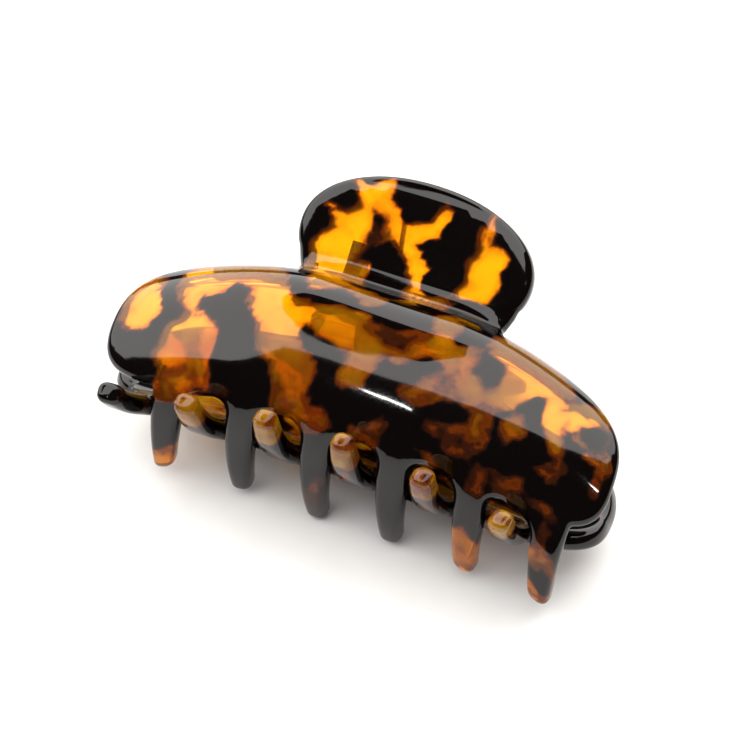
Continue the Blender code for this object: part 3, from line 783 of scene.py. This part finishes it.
def bored_lug(profile, middle):
    """Lug of the given side view about x = middle: rounded edges, pin bore through its knuckle."""
    edge = np.array(profile)
    centre = np.array([0.0, HINGE_Z])
    knuckle = np.linalg.norm(edge - centre, axis=1) < 1.01 * KNUCKLE_RADIUS
    normal = inward(edge) * knuckle[:, None]
    count = len(edge)
    half = 0.5 * LUG_WIDTH
    rings = edge_rings(LUG_ROUND, LUG_STEPS, LUG_WIDTH)[1:-1]
    turns = np.linspace(0.0, 2.0 * math.pi, BORE_SEGMENTS, endpoint=False)
    bore = centre + BORE_RADIUS * np.stack([np.cos(turns), np.sin(turns)], -1)
    rim = edge + normal * LUG_ROUND
    inner = fill_points(rim)
    inner = inner[np.linalg.norm(inner - centre, axis=1) > BORE_RADIUS + BORE_CLEAR]
    side = np.concatenate([rim, bore, inner])
    loops = [(half, side)]
    loops += [(half - depth, edge + normal * inset) for inset, depth in rings]
    loops += [(-half, side)]
    points = np.concatenate([np.column_stack([np.full(len(loop), middle + x), loop]) for x, loop in loops])
    starts = [int(n) for n in np.cumsum([0] + [len(loop) for x, loop in loops[:-1]])]
    faces = []
    for a, b in zip(starts[:-1], starts[1:]):
        faces += [(a + i, b + i, b + j, a + j) for i, j in loop_edges(0, count)]
    near = starts[0]
    far = starts[-1]
    faces += [(near + i, far + i, far + j, near + j) for i, j in loop_edges(count, BORE_SEGMENTS)]
    edges = loop_edges(0, count) + loop_edges(count, BORE_SEGMENTS)
    result = delaunay_2d_cdt([Vector(p) for p in side], edges, [], 1, 1e-6)
    first = [old[0] for old in result[3]]
    for corners in result[2]:
        corners = [first[i] for i in corners]
        if np.linalg.norm(side[corners].mean(0) - centre) > BORE_RADIUS:
            faces.append(tuple(near + i for i in corners))
            faces.append(tuple(far + i for i in reversed(corners)))
    return points, faces


def make_lugs():
    """Two lugs in each jaw, side by side on the pin."""
    profile = lug_profile()
    mat = acetate("lug acetate", (0.15, 0.4, 0.1), LUG_AMBER, LUG_CLEAR, painted=False)
    for side, x in (("left", -LUG_OUTER), ("right", LUG_INNER)):
        points, faces = bored_lug(profile, x)
        other = "right" if side == "left" else "left"
        for body, node, shape in (("front_half", "front_lug_" + side, points),
                                  ("rear_half", "rear_lug_" + other, about_z(points))):
            ob = add_mesh(node + "_glued", laid(shape), faces, mat, SMOOTH_ANGLE)
            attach(ob, body)
            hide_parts(node)


def make_pin():
    """The pin: a rod with domed, slightly flattened ends."""
    right = []
    for t in np.linspace(0.0, 0.5 * math.pi, DOME_POINTS):
        x = PIN_HALF - PIN_DOME * (1.0 - math.sin(t))
        right.append((x, PIN_END + (PIN_RADIUS - PIN_END) * math.cos(t)))
    right.append((PIN_HALF, 0.0))
    left = [(-x, r) for x, r in reversed(right)]
    points = []
    faces = []
    rings = []
    for x, r in left + right:
        ring = []
        for k in range(1 if r == 0.0 else PIN_SEGMENTS):
            t = 2.0 * math.pi * k / PIN_SEGMENTS
            ring.append(len(points))
            points.append((x, r * math.cos(t), HINGE_Z + r * math.sin(t)))
        rings.append(ring)
    for a, b in zip(rings[:-1], rings[1:]):
        for k, j in loop_edges(0, PIN_SEGMENTS):
            if len(a) == 1:
                faces.append((a[0], b[k], b[j]))
            elif len(b) == 1:
                faces.append((a[k], b[0], a[j]))
            else:
                faces.append((a[k], b[k], b[j], a[j]))
    mat = steel("pin steel", PIN_STEEL, 0.16, 0.34, (0.05, 1.0, 1.0))
    pin = add_mesh("hinge_pin_rod", laid(np.array(points)), faces, mat)
    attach(pin, "rear_half")
    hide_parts("hinge_pin")


def spring_path():
    """Centre line of the spring: leg on the front handle, coil, leg on the rear handle."""
    half = 0.5 * COIL_TURNS * COIL_PITCH
    rest = sheet_point(0.0, np.array(LEG_REACH), np.array(SHEET + WIRE_RADIUS))
    target = np.array([rest[1], rest[2] - HINGE_Z])
    reach = np.linalg.norm(target)
    touch = math.atan2(target[1], target[0]) - math.acos(COIL_RADIUS / reach)
    start = COIL_RADIUS * np.array([math.cos(touch), math.sin(touch)])
    leg = [(-half, *(target + (start - target) * t)) for t in np.linspace(0.0, LEG_SHARE, LEG_POINTS)]
    mirror = math.pi - touch
    turn = 2.0 * math.pi * math.floor(COIL_TURNS) + (mirror - touch) % (2.0 * math.pi)
    steps = int(round(turn / (2.0 * math.pi) * COIL_SEGMENTS))
    coil = []
    for k in range(steps + 1):
        f = k / steps
        t = touch + turn * f
        coil.append((-half + 2.0 * half * f, COIL_RADIUS * math.cos(t), COIL_RADIUS * math.sin(t)))
    other = [(half, -y, z) for _, y, z in reversed(leg)]
    path = np.array(leg + coil + other)
    path[:, 2] += HINGE_Z
    return path, half


def make_spring():
    """The torsion spring: round wire, legs lying on the handles."""
    path, half = spring_path()
    tangents = np.gradient(path, axis=0)
    tangents /= np.linalg.norm(tangents, axis=1, keepdims=True)
    side = np.cross(tangents[0], (1.0, 0.0, 0.0))
    side /= np.linalg.norm(side)
    points = []
    rings = []
    stations = [(0, size, -push) for size, push in WIRE_ENDS]
    stations += [(i, 1.0, 0.0) for i in range(len(path))]
    stations += [(len(path) - 1, size, push) for size, push in reversed(WIRE_ENDS)]
    for index, size, push in stations:
        t = tangents[index]
        side = side - t * (side @ t)
        side /= np.linalg.norm(side)
        up = np.cross(t, side)
        ring = []
        for k in range(WIRE_SEGMENTS):
            a = 2.0 * math.pi * k / WIRE_SEGMENTS
            ring.append(len(points))
            out = WIRE_RADIUS * size * (math.cos(a) * side + math.sin(a) * up)
            points.append(path[index] + t * push * WIRE_RADIUS + out)
        rings.append(ring)
    faces = [tuple(reversed(rings[0])), tuple(rings[-1])]
    for a, b in zip(rings[:-1], rings[1:]):
        faces += [(a[k], a[j], b[j], b[k]) for k, j in loop_edges(0, WIRE_SEGMENTS)]
    mat = steel("spring steel", SPRING_STEEL, 0.22, 0.42, (1.0, 1.0, 1.0))
    spring = add_mesh("torsion_spring_wire", laid(np.array(points)), faces, mat)
    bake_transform(spring)
    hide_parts("torsion_spring")


# ---------------------------------------------------------------- table, light, camera
def plane(name, corners, mat):
    """One flat face that belongs to the surroundings, not to the clip."""
    mesh = bpy.data.meshes.new(name)
    mesh.from_pydata([tuple(c) for c in corners], [], [tuple(range(len(corners)))])
    mesh.materials.append(mat)
    ob = bpy.data.objects.new(name, mesh)
    bpy.context.scene.collection.objects.link(ob)
    return ob


def make_table():
    """White table top, just below the clip."""
    mat, nodes, links, bsdf = new_material("white table")
    where = object_coordinates(nodes, links, (0.0, 0.0, 0.0))
    grain = noise(nodes, links, where, 40.0, 3.0)
    links.new(ramp(nodes, links, grain, TABLE_SHADES), bsdf.inputs["Base Color"])
    bsdf.inputs["Roughness"].default_value = 0.55
    half = TABLE_HALF * MM
    corners = ((-half, -half), (half, -half), (half, half), (-half, half))
    plane("table", [(x, y, -TABLE_DROP * MM) for x, y in corners], mat)


def make_ceiling():
    """A large soft light overhead and behind; its near edge leaves the camera's side dark."""
    mat = bpy.data.materials.new("ceiling light")
    mat.use_nodes = True
    nodes = mat.node_tree.nodes
    nodes.remove(nodes["Principled BSDF"])
    glow = nodes.new("ShaderNodeEmission")
    glow.inputs["Strength"].default_value = CEILING_RADIANCE
    glow.inputs["Color"].default_value = (*CEILING_COLOUR, 1.0)
    mat.node_tree.links.new(glow.outputs[0], nodes["Material Output"].inputs["Surface"])
    height = CEILING_HEIGHT * MM
    ob = plane("ceiling", [(x * height, y * height, height) for x, y in CEILING_EDGE], mat)
    ob.visible_camera = False


def make_card():
    """A dark card under the ceiling, which keeps the light's reflection off the crease."""
    mat, _, _, bsdf = new_material("dark card")
    bsdf.inputs["Base Color"].default_value = (*CARD_COLOUR, 1.0)
    bsdf.inputs["Roughness"].default_value = 0.9
    corners = []
    for u, s in CARD_OUTLINE:
        place, way = reflection(u, s)
        corners.append((place + way * (CARD_HEIGHT - place[2]) / way[2]) * MM)
    ob = plane("card", corners, mat)
    ob.visible_camera = False


def make_world():
    """Bright room where it is seen directly or through the acetate, dim in reflections."""
    world = bpy.data.worlds.new("room")
    world.use_nodes = True
    bpy.context.scene.world = world
    nodes = world.node_tree.nodes
    links = world.node_tree.links
    back = nodes["Background"]
    path = nodes.new("ShaderNodeLightPath")
    seen = maths(nodes, links, "MAXIMUM", path.outputs["Is Camera Ray"], path.outputs["Is Transmission Ray"])
    fill = maths(nodes, links, "MULTIPLY", path.outputs["Is Diffuse Ray"], ROOM_FILL)
    bright = maths(nodes, links, "MAXIMUM", maths(nodes, links, "MULTIPLY", seen, ROOM_SEEN), fill)
    links.new(maths(nodes, links, "MAXIMUM", bright, ROOM_MIRRORED), back.inputs["Strength"])
    back.inputs["Color"].default_value = (*ROOM_COLOUR, 1.0)


def view_directions():
    """The camera's right, up and backward directions."""
    a = math.radians(VIEW_AZIMUTH)
    e = math.radians(VIEW_ELEVATION)
    back = np.array([math.sin(a) * math.cos(e), -math.cos(a) * math.cos(e), math.sin(e)])
    right = np.array([math.cos(a), math.sin(a), 0.0])
    return right, np.cross(back, right), back


def make_camera():
    """Camera aimed midway between the two creases."""
    right, up, back = view_directions()
    target = laid(np.zeros(3))
    data = bpy.data.cameras.new("camera")
    data.lens = LENS
    data.sensor_width = SENSOR
    data.shift_x, data.shift_y = SHIFT
    data.clip_start = CLIP_START * MM
    ob = bpy.data.objects.new("camera", data)
    ob.location = Vector((target + back * VIEW_DISTANCE) * MM)
    ob.rotation_euler = Vector(back).to_track_quat("Z", "Y").to_euler()
    bpy.context.scene.collection.objects.link(ob)
    bpy.context.scene.camera = ob


def reflection(u, s):
    """The place (u, s) on the front jaw, and where the camera looks by its reflection there."""
    _, _, back = view_directions()
    step = 0.3
    place = laid(outer_point(u, s))
    du = laid(outer_point(u + step, s)) - laid(outer_point(u - step, s))
    ds = laid(outer_point(u, s + step)) - laid(outer_point(u, s - step))
    normal = np.cross(ds, du)
    normal /= np.linalg.norm(normal)
    eye = laid(np.zeros(3)) + back * VIEW_DISTANCE - place
    eye /= np.linalg.norm(eye)
    return place, 2.0 * (normal @ eye) * normal - eye


def make_glint(u, s, size_x, size_y, radiance):
    """A small lamp placed where its reflection falls on the front jaw at (u, s)."""
    place, way = reflection(u, s)
    data = bpy.data.lights.new("glint", "AREA")
    data.shape = "RECTANGLE"
    data.size = size_x * MM
    data.size_y = size_y * MM
    data.energy = radiance * math.pi * data.size * data.size_y
    ob = bpy.data.objects.new("glint", data)
    ob.location = Vector((place + way * GLINT_DISTANCE) * MM)
    ob.rotation_euler = Vector(way).to_track_quat("Z", "Y").to_euler()
    ob.visible_camera = False
    bpy.context.scene.collection.objects.link(ob)


make_jaws()
make_lugs()
make_pin()
make_spring()
make_table()
make_ceiling()
make_card()
make_world()
make_camera()
for glint in GLINTS:
    make_glint(*glint)

bpy.context.scene.view_settings.view_transform = "Standard"
